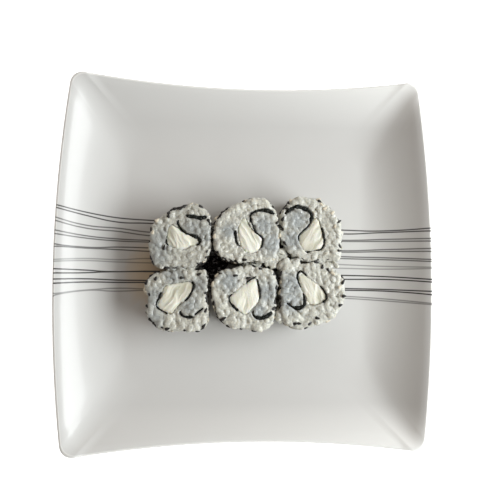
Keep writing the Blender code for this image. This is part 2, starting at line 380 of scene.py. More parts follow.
def makeLineMask():
    # printed line pairs as a mask over X and Y of the object's own space
    group, given, result = newGroup("printed lines", [("Width", "Float", 0.5)], [("Mask", "Float")])
    place = put(group, "TexCoord").outputs["Object"]
    axes = put(group, "SeparateXYZ", {0: place}).outputs
    stations = np.array(printLines["stations"])
    reach = 2 * stations[-1]
    across = math2(group, "ADD", math2(group, "DIVIDE", axes[0], reach * mm), 0.5, clamp=True)
    height = math2(group, "DIVIDE", axes[1], mm)

    def along(values, most):
        # a smooth function of X through the stations' values, which lie from -most to most
        curve = put(group, "FloatCurve", {"Value": across})
        points = curve.mapping.curves[0].points
        for _ in range(len(values) - 2):
            points.new(0.5, 0.5)
        for point, station, value in zip(points, stations, values):
            point.location = (station / reach + 0.5, (value + most) / (2 * most))
        curve.mapping.update()
        return math2(group, "ADD", math2(group, "MULTIPLY", curve.outputs[0], 2 * most), -most)

    total = None
    half, soft = given["Width"], printLines["soft"] / 2
    for middles, gaps, ink in printLines["pairs"]:
        middle = along(middles, printLines["middleMost"])
        gap = along(gaps, printLines["gapMost"])
        away = math2(group, "ABSOLUTE", math2(group, "SUBTRACT", height, middle))
        near = math2(group, "ABSOLUTE", math2(group, "SUBTRACT", away, gap))
        line = put(group, "MapRange", {
            "Value": near, "From Min": math2(group, "ADD", half, soft),
            "From Max": math2(group, "SUBTRACT", half, soft), "To Min": 0.0, "To Max": ink}).outputs["Result"]
        total = line if total is None else math2(group, "MAXIMUM", total, line)
    group.links.new(total, result["Mask"])
    return group


def printedShare(tree):
    # the printed lines, on the plate's upper side only
    lines = useGroup(tree, makeLineMask(), {"Width": printLines["width"] / 2})["Mask"]
    return math2(tree, "MULTIPLY", lines, pointShare(tree, "upper"))


def tonePlate(piece, points, lipFirst, lipLast, printedLast):
    # painted light and shade on the glaze: paler near the front and back rims and on the lip, where light falls, and
    # a painted warm shadow left of the rolls; and which side the lines are printed on
    x, y = points[:, 0] / mm, points[:, 1] / mm
    given, paintedShadow = paintedPlateLight, paintedPlateLight["paintedShadow"]
    # painted light: paler towards the front and back rims, more so on the right, and a painted highlight on the whole
    # lip
    pale = np.clip((abs(y) - given["paintedLightFrom"]) / given["paintedLightOver"], 0, 1)
    pale *= np.clip(given["paintedLightMiddle"] + x / given["paintedLightAcross"], 0, 1)
    pale[lipFirst:lipLast] = 1
    addShade(piece, pale)
    upper = np.zeros(len(points))
    upper[:printedLast] = upper[-2] = 1
    addShade(piece, upper, "upper")
    # painted shadow: a warm brown blob left of the rolls, where their shadow falls
    (middleX, middleY), (reachX, reachY) = paintedShadow["middle"], paintedShadow["reach"]
    away = ((x - middleX) / reachX) ** 2 + ((y - middleY) / reachY) ** 2
    addShade(piece, paintedShadow["most"] * np.clip(1 - away, 0, 1) ** paintedShadow["fade"], "paintedShadow")


def makePlate():
    size = plateSize
    well, _ = plateOutline(size["wellHalf"], (0, 0), size["wellCorner"])
    rim, sides = plateOutline(size["rimHalf"], size["rimBow"], size["rimCorner"])
    middles = np.array([size["rimHeightMiddle"][axis] for axis, _ in sides])
    sideShares = np.array([share for _, share in sides])
    rimTop = middles + (size["rimHeightCorner"] - middles) * sideShares**2
    steps = np.linspace(0, 1, size["profileSteps"])
    easeStart, easeEnd, ease = size["wallEase"]
    eased = 1 - ease * np.clip((steps - easeStart) / (easeEnd - easeStart), 0, 1)
    steep = steps ** (size["wallPower"] - 1) * eased
    gone = np.concatenate([[0], np.cumsum(steep[1:] + steep[:-1])])
    gone /= np.interp(size["lipStart"], steps, gone)

    def ring(share, rise, drop):
        spots = well + (rim - well) * share
        return np.column_stack([spots, size["wellTop"] + (rimTop - size["wellTop"]) * rise - drop])

    def flatRing(share, height):
        return np.column_stack([well * share, np.full(len(well), height)])

    def climb(share):
        # the wall steepens from the well and flattens again towards the lip
        return float(np.interp(share, steps, gone))

    wall = [size["lipStart"] * i / size["wallSteps"] for i in range(size["wallSteps"] + 1)]
    rings = [flatRing(share, size["wellTop"] - size["wellSink"] * (1 - share**2) ** 2)
             for share in size["wellRings"]]
    rings += [ring(share, climb(share), 0) for share in wall]
    rings += [ring(share, 1, drop) for share, drop in size["lip"]]
    rings += [ring(share, climb(share), size["wallThick"]) for share in reversed(wall[:-1])]
    under = size["wellTop"] - size["wallThick"]
    outer, inner, draft = size["footOuter"], size["footInner"], size["footDraft"]
    foot = [(2 * draft, under), (draft, under - size["footRound"])]
    foot += [(share * draft, height) for share, height in size["footLow"]] + [(-size["footBevel"], 0)]
    rings += [flatRing(outer + aside, height) for aside, height in foot]
    rings += [flatRing(inner - aside, height) for aside, height in reversed(foot)]
    rings += [flatRing(share, under) for share in size["underRings"]]
    around = len(well)
    count = len(rings) * around
    faces = loftFaces(len(rings), around)
    faces += fanFaces(0, around, count, flip=True)
    faces += fanFaces(count - around, around, count + 1)
    points = np.vstack(rings + [(0, 0, rings[0][0, 2]), (0, 0, under)]) * mm
    piece = addPiece("glazedPlate", points, faces, makeFinish("glazed porcelain", glaze, lines=printedShare))
    lipFirst = len(size["wellRings"]) + len(wall)
    ends = np.array((lipFirst, lipFirst + len(size["lip"]), lipFirst + size["lipPrinted"])) * around
    tonePlate(piece, points, *ends)
    dress(piece, "porcelain", "plate")


makePlate()
print("plate made")


# rolls: filling and sheet outlines in millimetres about the roll's own centre, as in the model
# wrap: how far the sheet follows the filling, in the filling's points
# buried, doubled, strays: stretches of the sheet that lie under rice, are folded double, or stand off the filling
# pressed and soft: middles and radii of round patches; the pressed ones are greyer, partly pressed rice and partly
# painted shade on the sides away from the light; bridges: rows of loose grains between neighbours, and their drop

# shade and cheeseShade: painted shade that dims each roll's rice and cheese as a whole, deepest for the rice of rolls
# a and d at the left, away from the light
rolls = {
    "a": {
        "filling": ((-9.9, -4.2), (-4.5, -6.6), (1, -8), (6.3, -5.6), (11.6, -4), (11.2, 0), (3, 2.8), (-3.6, 7),
            (-7.4, 9), (-9.4, 2.3)),
        "sheet": ((16.4, 14), (12.5, 13.2), (8, 14), (3.4, 14.3), (-0.8, 12.2), (-2.6, 9.4)),
        "wrap": (6, -0.5),
        "buried": ((0.2, 0.27), (0.65, 0.93)),
        "doubled": ((0, 0.19), (0.46, 0.6)),
        "strays": ((0.93, 1, -0.6),),
        "pressedInShade": ((-13, -3, 11), (8, 6, 8), (-14, -12, 8), (16, 2, 8)),
        "soft": ((9.5, 18.7, 6), (-16, -3, 5)),
        "bridges": (),
        "ridges": -68, "streaks": 1.0, "shade": 0.66, "cheeseShade": 0.36,
        "seeds": ((-8.6, 14.2, 85), (-8.2, 16.6, 72), (-6.3, 18.4, 40), (-4.2, 19.2, 15), (-1.8, 19.6, 20),
            (0.4, 20.2, 25), (2, 21, 30), (12.7, 20.6, -25), (17.8, 11.2, -60), (18.6, 9, -80), (-20.5, -2.5, 60),
            (-19, -14, -40), (-18, -16.5, -50), (-9, -19.5, -10), (12, -18.5, 25), (15.5, -16.5, 40),
            (-11, -6.5, 75)),
        "paleSeeds": ((-16, 11.5, 40), (-18.5, 3.5, 80)),
    },
    "b": {
        "filling": ((-2.4, 10.4), (-5.4, 7.4), (-7.2, 1.5), (-6.6, -4), (-5.2, -9), (-1.5, -13.2), (3, -13.6),
            (7.8, -10.6), (9.5, -5), (7.2, -1.8), (2, 2.6)),
        "sheet": ((17, 12.6), (12.6, 14.8), (6.4, 14.8), (1.6, 12.6), (1.2, 8.6)),
        "wrap": (9.5, 2),
        "buried": ((0.61, 0.86),),
        "doubled": ((0, 0.14), (0.93, 1)),
        "strays": ((0.86, 1, 1.7),),
        "pressedInShade": ((10, 5, 8), (15, -7, 9), (-13, 1, 6)),
        "soft": ((-10, 19, 7), (8, 20, 8), (14, -8, 6)),
        "bridges": ((12, 19, -19.8, 1.2), (15.5, 20, -16.5, 0.8)),
        "ridges": -57, "streaks": 1.1, "shade": 0.08, "cheeseShade": 0.12,
        "seeds": ((-14.5, 16.5, 30), (-18.5, 11.5, 60), (-17.5, 14, 30), (-23, 7, 60), (19, 7, 50), (19.5, 5, -30),
            (-2.5, -18, 0), (-11.5, -19.5, -10), (-8.5, -21, -30)),
        "paleSeeds": ((-22.5, -2.5, 80), (-21.5, 10, 50), (-2, 22.5, 10)),
    },
    "c": {
        "filling": ((4, 9.6), (0.6, 6.6), (-2.4, 2.5), (-7.2, -1.6), (-8.6, -5.4), (-6.4, -11), (-3, -14),
            (2, -12.8), (7.2, -11.8), (9, -6), (7.2, 2.4)),
        "sheet": ((-17.8, 11.2), (-14.2, 15.2), (-8.7, 16.8), (-3.6, 15.4), (0, 13), (0.6, 9.8)),
        "wrap": (1.5, 10),
        "buried": ((0.56, 0.67), (0.71, 0.75)),
        "doubled": ((0.02, 0.36),),
        "strays": ((0, 0.3, 0.5),),
        "pressedInShade": ((-9, 7, 9), (-12, -6, 8)),
        "soft": ((14.4, -13, 9), (17, 3, 9), (12, 14, 8), (3, 20, 8), (-7, 21, 6)),
        "bridges": ((-22.5, -17.5, -14.5, 0.8), (-22, -16.5, -18.5, 1.2)),
        "ridges": 57, "streaks": 0.5, "shade": 0.12, "cheeseShade": 0.55,
        "seeds": ((-15.4, 19.6, -70), (19, 6.8, 30), (19.5, -10, -45), (19, -13, 0), (6, 20, -30),
            (-17.5, -8.5, -55), (-22, 3, -40), (-19, 8, 60), (-7.5, -20.5, -25), (1, -21, 0), (3.5, -20.5, 10)),
        "paleSeeds": ((5, 21.5, 20), (7, 18, -40), (9.5, 15.5, 30), (-21, -3, 80), (14.5, 12.5, 40), (16, 3.5, 80),
            (-13, 20.5, 0)),
    },
    "d": {
        "filling": ((10.2, 9.8), (6.6, 12.4), (-0.6, 11), (-7, 10.2), (-10, 7), (-11, 1.8), (-13.6, -3.8),
            (-9, -7.4), (-4.2, -9.4), (-1, -5), (4.6, -0.4), (7.6, 3.4)),
        "sheet": ((16.4, -5.2), (12.2, -8.4), (8.6, -10.8), (4.6, -10.8), (1.6, -8.8)),
        "wrap": (9.5, 19.5),
        "buried": ((0.24, 0.32), (0.5, 0.77)),
        "doubled": ((0.12, 0.15), (0.44, 0.49)),
        "strays": ((0.76, 0.9, 0.8),),
        "pressedInShade": ((8, -3, 8), (-3, 16, 8), (14, 10, 7), (-14, 1, 10), (-15, -12, 7)),
        "soft": ((8, -13.2, 9), (-8, -14, 7), (9, -4, 5)),
        "bridges": ((-7, 10, 20.2, 0.8),),
        "ridges": 61, "streaks": 0.8, "shade": 0.48, "cheeseShade": 0.45,
        "seeds": ((-18, 16, 30), (-14.5, 14, 80), (-20.5, 11.5, 60), (-20.5, -4.5, -30), (-17.5, -13, -40),
            (-15, -15.5, -58), (-6.5, -18.5, 15), (13, -20.5, 5), (17, -16.5, 55), (18, -6.5, 60), (13.5, 17, 20),
            (2.5, 14.5, 0), (19, 2.5, 85), (19, 0, 80)),
        "paleSeeds": ((-22, 7.5, 60), (-20.5, 4.5, -40)),
    },
    "e": {
        "filling": ((6.4, 13.2), (0, 9.2), (-6, 4.6), (-10.2, 0), (-9.2, -4.2), (-5.2, -8.8), (0.2, -11.8),
            (3.9, -7.4), (8.2, -3.4), (9.2, 1.6), (8, 8)),
        "sheet": ((17, -9.8), (13.6, -12.4), (9.8, -13.8), (6, -13), (4.4, -10.4)),
        "wrap": (7.5, 16),
        "buried": ((0.24, 0.36), (0.66, 0.83)),
        "doubled": ((0, 0.17), (0.94, 1)),
        "strays": ((0.83, 0.93, 0.8),),
        "pressedInShade": ((14, 3, 9), (8, -9, 6), (-11, 10, 8)),
        "soft": ((-8, -18, 8), (9, -18, 8), (-12, 12, 7)),
        "bridges": ((-1, 11, 21.2, 4),),
        "ridges": 82, "streaks": 0.4, "shade": 0.05, "cheeseShade": 0,
        "seeds": ((-7, 14, 0), (1.5, 12.5, 10), (-14.5, -14, 30), (-16, -15.5, -45), (-11.5, -19, -30),
            (5.5, -22, -10), (20, 6.5, 80), (-22.5, -4, 80), (-22, -8, -70), (-12.5, 20.5, 0), (-9.5, 21.5, 0),
            (-4, 22, 0), (5, 20, 0), (9.5, 18.5, 0), (18.6, 15.5, 70), (19.5, -3, 80), (18.5, -7, 50)),
        "paleSeeds": ((-21, 15.5, 50), (-22, 8.5, 80)),
    },
    "f": {
        "filling": ((-6, 14.4), (-7.8, 10.3), (-6.4, 5.2), (-3.8, -0.8), (0.4, -7.4), (5.8, -7), (11.2, -3.6),
            (9.6, 2.2), (5, 6.4), (-1, 10.4)),
        "sheet": ((-16.2, -5), (-12.6, -8.2), (-8, -9.6), (-4.4, -8.4), (-3.4, -5.4)),
        "wrap": (3, -4.5),
        "buried": ((0.34, 0.4), (0.64, 0.8)),
        "doubled": ((0.1, 0.27),),
        "strays": ((0.5, 0.62, 0.6),),
        "pressedInShade": ((-13, 5, 10), (-13, -5, 9)),
        "soft": ((15.5, 9.4, 9), (17, -3, 9), (7, -15.4, 9), (-14, -13.8, 9), (14, -12, 7), (-15, 19, 6)),
        "bridges": ((-18, -7, 20.6, 0.5), (7, 18, 19, 1.2), (-22, -15, 18.8, 1), (-22, -18, -13, 1),
            (-21.5, -17.5, -16.5, 1)),
        "ridges": -72, "streaks": 1.1, "shade": 0, "cheeseShade": 0.5,
        "seeds": ((-21.5, 4, 75), (-19.5, 13.5, 85), (5, -16, -15), (-9.5, -19.5, 12), (-7, -19.5, -5),
            (0, -19.5, 35), (22, 10.8, -60), (22.4, 7.9, 60), (22.8, -1.5, 0), (20.4, -7.4, 20), (8.5, 18, 80),
            (12.5, 15.5, -60), (-21, -3.5, -45), (-20, -6.5, 30), (-21.6, 15.6, 60), (-20.6, -9, 60), (-1, 20.4, 0)),
        "paleSeeds": ((-20, 1, 80), (20, 4.5, 30), (12.5, -18, 10), (15.5, 13.5, -40)),
    },
}


rollShape = {  # millimetres
    "level": 0.52,  # share of the height at which the model's outline is read
    "belt": 0.5,
    "outlineStep": 0.5,
    "fillingStep": 0.4,
    "routeStep": 0.35,
    "strayFade": 0.06,
    "buriedFade": 0.03,
    "doubledFade": 0.05,
    "overrun": 0.2,
}


def stretches(spans, count, fade):
    # 1 along the named stretches of a path and 0 elsewhere, with soft ends
    share = np.linspace(0, 1, count)
    marked = np.zeros(count)
    for start, end in spans:
        marked = np.maximum(marked, np.clip(np.minimum(share - start, end - share) / fade + 0.5, 0, 1))
    return marked


def routeSide(route, filling):
    # a length of one millimetre, signed so that the route's normals point away from the filling
    last = route[-1] + outwardNormals(route, closed=False)[-1] * mm
    return -mm if inside(filling, last[None])[0] else mm


def placeRoll(letter, roll):
    # the roll's outline, filling and sheet route in metres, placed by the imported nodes
    given = rollShape
    low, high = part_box("cream-cheese-" + letter)
    filling = np.array(roll["filling"]) * mm
    filling = curvePoints(filling, np.arange(0, len(filling), 0.5))
    shift = np.array((low + high)[:2]) / 2 - (filling.min(0) + filling.max(0)) / 2
    start, end = roll["wrap"]
    wrap = curvePoints(roll["filling"], np.linspace(start, end, round(2 * abs(end - start)) + 1))
    free = np.vstack([roll["sheet"], wrap[0], wrap[2]])
    reach = np.vstack([free, 2 * free[-1] - free[-2], 2 * free[0] - free[1]])
    free = curvePoints(reach, np.arange(2 * len(free) - 3) / 2)
    riceLow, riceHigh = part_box("rice-" + letter)
    points = np.array([vertex.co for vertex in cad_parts["rice-" + letter].data.vertices])
    level = riceLow.z + (riceHigh.z - riceLow.z) * given["level"]
    belt = points[abs(points[:, 2] - level) < given["belt"] * mm][:, :2]
    middle = belt.mean(0)
    belt = belt[np.argsort(np.arctan2(*(belt - middle).T[::-1]))]
    route = evenly(np.vstack([free[:-1], wrap]) * mm + shift, given["routeStep"] * mm)
    for start, end, aside in roll["strays"]:
        past = given["overrun"] if end == 1 else 0
        away = stretches([(start, end + past)], len(route), given["strayFade"])[:, None]
        route = route + outwardNormals(route, closed=False) * away * aside * routeSide(route, filling + shift)
    return {
        **roll, "letter": letter, "low": riceLow.z, "top": riceHigh.z, "middle": middle, "shift": shift,
        "outline": evenly(belt, given["outlineStep"] * mm, closed=True),
        "filling": evenly(filling + shift, given["fillingStep"] * mm, closed=True),
        "route": route,
        "normals": outwardNormals(route, closed=False),
        "hidden": stretches(roll["buried"], len(route), given["buriedFade"]),
        "wide": stretches(roll["doubled"], len(route), given["doubledFade"]),
    }


placed = [placeRoll(letter, roll) for letter, roll in rolls.items()]
plateTop = (plateSize["wellTop"] - plateSize["wellSink"]) * mm
lowest = plateTop + 0.05 * mm  # nothing of the rolls goes further down
print("rolls placed")


# rice: grains lie on the sides and across the cut face, over a soft body that fills the gaps between them

riceGrain = {  # millimetres
    "length": (4.2, 5.8),
    "width": (2.6, 3.3),
    "flatness": (0.8, 1),
    "blunt": 2.6,
    "taper": 0.14,
    "bend": 0.16,
    "rings": 8,
    "around": 8,
    "sideSpacing": 2.5,
    "sideTries": 3600,
    "sideSink": 0.95,
    "sideUneven": 0.8,
    "sideLump": 7,
    "sideTip": 0.16,
    "shoulder": 2.4,
    "shoulderDraw": 1.7,
    "shoulderLean": 0.9,
    "footDraw": 0.8,
    "footLean": 0.4,
    "topSpacing": 2.3,
    "topTries": 2400,
    "topSink": (0.5, 1.5),
    "topLean": 0.5,
    "cutUneven": 0.5,
    "cutSize": 7,
    "cutEach": 0.28,
    "cutBlunt": 0.34,  # share of a grain's rise over the cut that stays
    "tornShare": 0.2,
    "tornRise": 0.6,
    "besideOutline": 1.4,
    "besideSheet": 0.2,
    "past": 0.01,  # spots beyond an end of the sheet have marks this near to it
    "clearDepth": 4,
    "reach": 3.5,  # along the sheet, within which a grain can't cross it
    "bridge": {"spacing": 0.8, "across": 0.8, "deep": 3, "tip": 0.3},
}

riceBody = {  # millimetres
    "inset": 1.5,  # of the sides; it fades out over insetOver, from insetFrom inwards
    "insetFrom": 1.5,
    "insetOver": 2,
    "drop": 1.3,
    "voxel": 0.5,
    "smoothing": 3,
    "swell": 0.06,
    "mush": 0.48,  # most that the smeared starch swells
    "mushSize": 6,
    "soft": 0.75,
    "pressedInShade": 0.28,
    "beside": 0.05,
    # painted shade: the least shade on the starch between the grains, so the gaps read darker
    "shade": 0.22,
    "pressedShade": 0.65,
    "dimShade": 0.55,
    "patchEdge": (1.5, 1.2),  # share at a patch's middle, and its fall over one radius
    "patchDepth": 5,
}

# moist cooked rice: pale, a little see-through, each grain its own tone; painted shade makes it greyer where it is
# pressed and on the sides away from the light, darker in the gaps between grains, and dimmer on whole rolls
riceLook = {
    "surface": {"Roughness": 0.36, "IOR": 1.4, "Subsurface Weight": 0.5, "Subsurface Scale": 0.0025,
                "Subsurface Radius": (1.0, 0.92, 0.8), "Coat Weight": 0.36, "Coat Roughness": 0.12},
    "tones": {"Light": (0.89, 0.865, 0.725, 1), "Dark": (0.58, 0.57, 0.495, 1), "Scale": 800.0, "Spread": 0.22},
    "layers": {"grain": (0.53, 0.53, 0.47, 1), "shade": (0.27, 0.305, 0.325, 1), "dim": (0.30, 0.29, 0.245, 1)},
    "grainMost": 0.5,
    "relief": {"Scale": 1000.0, "Detail": 5.0},
    "depth": 0.0005,
}


def grainBody(rings, around):
    # a unit grain along X: blunt at one end, finer at the germ end
    points, count = [(-1, 0, 0)], rings - 1
    for ring in range(count):
        x = -math.cos(math.pi * (ring + 1) / rings)
        girth = (1 - abs(x) ** riceGrain["blunt"]) ** 0.5 * (1 - riceGrain["taper"] * x)
        for i in range(around):
            turn = math.tau * (i + 0.5 * ring) / around
            points.append((x, girth * math.cos(turn), girth * math.sin(turn)))
    points.append((1, 0, 0))
    faces = [(0, (i + 1) % around + 1, i + 1) for i in range(around)]
    for ring in range(count - 1):
        base = 1 + ring * around
        for i in range(around):
            a, b = base + i, base + (i + 1) % around
            faces += [(a, b, a + around), (b, b + around, a + around)]
    last, tip = 1 + (count - 1) * around, 1 + count * around
    faces += [(last + i, last + (i + 1) % around, tip) for i in range(around)]
    return np.array(points), np.array(faces)


def turnTo(along, up):
    # a rotation whose X runs along and whose Z is as near up as it can be
    along = Vector(along).normalized()
    side = Vector(up).cross(along)
    side = side.normalized() if side.length > 1e-6 else along.orthogonal().normalized()
    return np.array(Matrix((along, side, along.cross(side))).transposed())


def turned(outward, angle, rise=0.0):
    # a direction in the plane across outward, at an angle, tipped outward by rise
    along = outward.orthogonal().normalized()
    along.rotate(Matrix.Rotation(angle, 3, outward))
    return along + outward * rise


def laidFlat(outward, tip, dice):
    # a long piece lying on a surface, turned at random and tipped a little
    return turnTo(turned(outward, dice.uniform(0, math.tau), dice.normal(0, tip)), outward)


def joinCopies(points, faces, sizes, turns, places):
    # many copies of one small body in a single point and face array
    copies = np.einsum("nij,nvj->nvi", turns, points[None] * sizes[:, None]) + places[:, None]
    faces = (faces[None] + np.arange(len(places))[:, None, None] * len(points)).reshape(-1, 3)
    return copies, faces


def sidePlace(roll, mark, height, inset):
    # a place on the roll's side at a mark along its outline, with its outward direction
    outline, given = roll["outline"], riceGrain
    i = int(mark) % len(outline)
    tall = roll["top"] - roll["low"]
    outward = outwardNormals(outline)[i]
    nearTop = max(0, 1 - (tall - height) / (given["shoulder"] * mm))
    nearFoot = max(0, 1 - height / (given["shoulder"] * mm))
    draw = inset + (nearTop**2 * given["shoulderDraw"] + nearFoot**2 * given["footDraw"]) * mm
    place = (*(outline[i] - outward * draw), roll["low"] + height)
    return place, Vector((*outward, nearTop * given["shoulderLean"] - nearFoot * given["footLean"])).normalized()


def sideSpots(roll, spacing, tries, dice):
    # marks along the outline and heights, spread over the roll's side
    step, tall = rollShape["outlineStep"] * mm, roll["top"] - roll["low"]
    length = len(roll["outline"]) * step

    def draw(dice):
        return np.array([dice.uniform(0, length), dice.uniform(0, tall)])

    return [(run / step, height) for run, height in scatter(draw, lambda spot: True, spacing, tries, dice)]


def topSpots(roll, spacing, tries, dice):
    outline, filling = roll["outline"], roll["filling"]
    low, high = outline.min(0), outline.max(0)

    def accept(spot):
        spot = spot[None]
        if not inside(outline, spot)[0] or inside(filling, spot)[0]:
            return False
        return nearest(outline, spot)[0][0] > riceGrain["besideOutline"] * mm

    return scatter(lambda dice: dice.uniform(low, high), accept, spacing, tries, dice)


def meshPoints(piece, kind="co"):
    points = np.empty(len(piece.data.vertices) * 3, np.float32)
    piece.data.vertices.foreach_get(kind, points)
    return points.reshape(-1, 3).astype(float)


def keepClear(roll, copies, centres, more=0.0):
    # grains press against the filling and the sheet, and lie over the sheet where it is hidden
    given = riceGrain
    flat = copies.reshape(-1, 3)
    high = np.flatnonzero(flat[:, 2] > roll["top"] - given["clearDepth"] * mm)
    spots = flat[high, :2]
    filling, route = roll["filling"], roll["route"]
    within = inside(filling, spots)
    spots[within] = nearest(filling, spots[within])[2]
    gap, mark, foot, own = nearest(route, spots, closed=False)
    _, start, _, side = nearest(route, centres, closed=False)
    start, side = (np.repeat(values, copies.shape[1])[high] for values in (start, side))
    side = np.where(side == 0, 1, side)
    index = np.clip(np.round(mark).astype(int), 0, len(route) - 1)
    hidden = roll["hidden"][index]
    reach = given["reach"] / rollShape["routeStep"]
    across = (own != side) & (abs(mark - start) < reach) & (hidden < 0.5)
    clear = (sheetHalf(roll)[index] + given["besideSheet"] * mm + more) * (1 - hidden)
    near = ((gap < clear) | across) & (mark > given["past"]) & (mark < len(route) - 1 - given["past"])
    spots[near] = foot[near] - roll["normals"][index][near] * (side * clear)[near, None]
    flat[high, :2] = spots
    return flat.reshape(copies.shape)


def riceGrains(roll, dice):
    given, bridge = riceGrain, riceGrain["bridge"]
    upright = Vector((0, 0, 1))
    places, turns, cuts = [], [], []
    for mark, height in sideSpots(roll, given["sideSpacing"] * mm, given["sideTries"], dice):
        spot = roll["outline"][int(mark) % len(roll["outline"])]
        lump = noise.noise(Vector((*spot, height)) / (given["sideLump"] * mm))
        place, outward = sidePlace(roll, mark, height, (given["sideSink"] - lump * given["sideUneven"]) * mm)
        places.append(place)
        turns.append(laidFlat(outward, given["sideTip"], dice))
        cuts.append(0)
    for sink in given["topSink"]:
        for spot in topSpots(roll, given["topSpacing"] * mm, given["topTries"], dice):
            lean = dice.normal(0, given["topLean"])
            along = turned(upright, dice.uniform(0, math.tau), lean)
            torn = sink == given["topSink"][0] and dice.random() < given["tornShare"]
            rise = given["tornRise"] if torn else 0
            places.append((*spot, roll["top"] - (sink - rise) * mm))
            turns.append(turnTo(along, upright))
            cuts.append(rise)
    for start, end, across, drop in roll["bridges"]:
        for _ in range(round((end - start) / bridge["spacing"])):
            spot = (dice.uniform(start, end), dice.normal(across, bridge["across"]))
            height = roll["top"] - (drop + dice.uniform(0, bridge["deep"])) * mm
            places.append((*(roll["shift"] + np.array(spot) * mm), height))
            turns.append(laidFlat(upright, bridge["tip"], dice))
            cuts.append(0)
    count = len(places)
    places, turns = np.array(places), np.array(turns)
    length = dice.uniform(*given["length"], count) / 2
    width = dice.uniform(*given["width"], count) / 2
    sizes = np.column_stack([length, width, width * dice.uniform(*given["flatness"], count)]) * mm
    points, faces = grainBody(given["rings"], given["around"])
    copies, faces = joinCopies(points, faces, sizes, turns, places)
    bend = dice.normal(0, given["bend"], count)
    swing = (points[:, 0] ** 2)[None, :, None] * bend[:, None, None] * sizes[:, 1][:, None, None]
    copies += swing * turns[:, None, :, 1]
    copies = keepClear(roll, copies, places[:, :2])
    cut = wobble(copies.reshape(-1, 3)[:, :2], given["cutSize"] * mm, patterns["cut"]).reshape(copies.shape[:2])
    each = dice.normal(0, given["cutEach"], count) + np.array(cuts)
    cut = roll["top"] + (cut * given["cutUneven"] + each[:, None]) * mm
    over = np.maximum(copies[..., 2] - cut, 0)
    copies[..., 2] -= over * (1 - given["cutBlunt"])
    copies[..., 2] = np.maximum(copies[..., 2], lowest)
    return copies.reshape(-1, 3), faces


def grainShare(tree):
    # each grain its own tone
    return math2(tree, "MULTIPLY", put(tree, "NewGeometry").outputs["Random Per Island"], riceLook["grainMost"])


def patches(roll, points, kind):
    # how far each point lies in the roll's round patches of one kind, near its cut face
    share = np.zeros(len(points))
    full, fall = riceBody["patchEdge"]
    for x, y, radius in roll[kind]:
        away = np.linalg.norm(points[:, :2] - roll["shift"] - np.array((x, y)) * mm, axis=1)
        share = np.maximum(share, np.clip(full - fall * away / (radius * mm), 0, 1))
    return share * np.clip(1 - (roll["top"] - points[:, 2]) / (riceBody["patchDepth"] * mm), 0, 1)


def shadeRice(roll, piece, least=0.0):
    # painted shade: the pressed patches are greyer, partly pressed rice and partly shade on the sides away from the
    # light
    share = patches(roll, meshPoints(piece), "pressedInShade") * riceBody["pressedShade"]
    addShade(piece, share + (1 - share) * least)
    # painted shade: the whole roll dimmed as if it lay in shade
    addShade(piece, np.full(len(share), roll["shade"] * riceBody["dimShade"]), "dim")


def makeRiceBody(roll, grains, material):
    # the model's own rice solid drawn in, fused with the grains and smoothed: the starch between them
    name, given = "rice-" + roll["letter"], riceBody
    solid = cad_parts[name].data
    points = np.array([vertex.co for vertex in solid.vertices])
    corners = np.array([list(face.vertices) for face in solid.polygons])
    away = points[:, :2] - roll["middle"]
    edge = nearest(roll["outline"], points[:, :2])[0]
    draw = np.clip(1 - (edge - given["insetFrom"] * mm) / (given["insetOver"] * mm), 0, 1) * given["inset"] * mm
    points[:, :2] -= away / np.linalg.norm(away, axis=1, keepdims=True) * draw[:, None]
    tall = roll["top"] - roll["low"]
    points[:, 2] = roll["low"] + (points[:, 2] - roll["low"]) * (1 - given["drop"] * mm / tall)
    grainPoints, grainFaces = grains
    piece = addPiece("riceBody-" + roll["letter"], np.vstack([points, grainPoints]),
                     np.vstack([corners, grainFaces + len(points)]), material)
    fuse = piece.modifiers.new("fuse", "REMESH")
    fuse.mode = "VOXEL"
    fuse.voxel_size = given["voxel"] * mm
    fuse.use_smooth_shade = True
    soften = piece.modifiers.new("soften", "SMOOTH")
    soften.iterations = given["smoothing"]
    graph = bpy.context.evaluated_depsgraph_get()
    rough = piece.data
    piece.data = bpy.data.meshes.new_from_object(piece.evaluated_get(graph))
    piece.modifiers.clear()
    bpy.data.meshes.remove(rough)
    points, normals = meshPoints(piece), meshPoints(piece, "normal")
    mush = wobble(points, given["mushSize"] * mm, patterns["mush"]) * 2
    mush = np.clip(mush, 0, 1) * given["mush"]
    for kind in ("soft", "pressedInShade"):
        mush = np.maximum(mush, patches(roll, points, kind) * given[kind])
    points += normals * (given["swell"] + mush)[:, None] * mm
    points[:, 2] = np.maximum(points[:, 2], lowest)
    points = keepClear(roll, points[:, None], points[:, :2], given["beside"] * mm)[:, 0]
    piece.data.vertices.foreach_set("co", points.astype(np.float32).ravel())
    piece.data.update()
    return dress(piece, "rice", name)


noriSheet = {  # millimetres
    "thick": 0.85,
    "doubled": 1.1,
    "uneven": 0.55,
    "unevenSize": 2.6,
    "tornSize": 0.9,
    "over": 0.6,
    "sunk": 1.8,
    "crinkle": 0.3,
    "crinkleSize": 1.6,
    "edge": 0.8,
    "edgeSize": 1.1,
    "edgeThin": 0.75,
    "rows": (0, 0.3, 0.6, 0.8, 0.9, 0.95, 0.98, 1),
}


def sheetHalf(roll):
    # half the sheet's thickness at each step of its route, uneven where it is torn and folded
    given, route = noriSheet, roll["route"]
    uneven = wobble(route, given["unevenSize"] * mm, patterns["uneven"])
    uneven += wobble(route, given["tornSize"] * mm, patterns["torn"])
    return (given["thick"] + roll["wide"] * given["doubled"]) / 2 * mm * (1 + given["uneven"] * uneven)


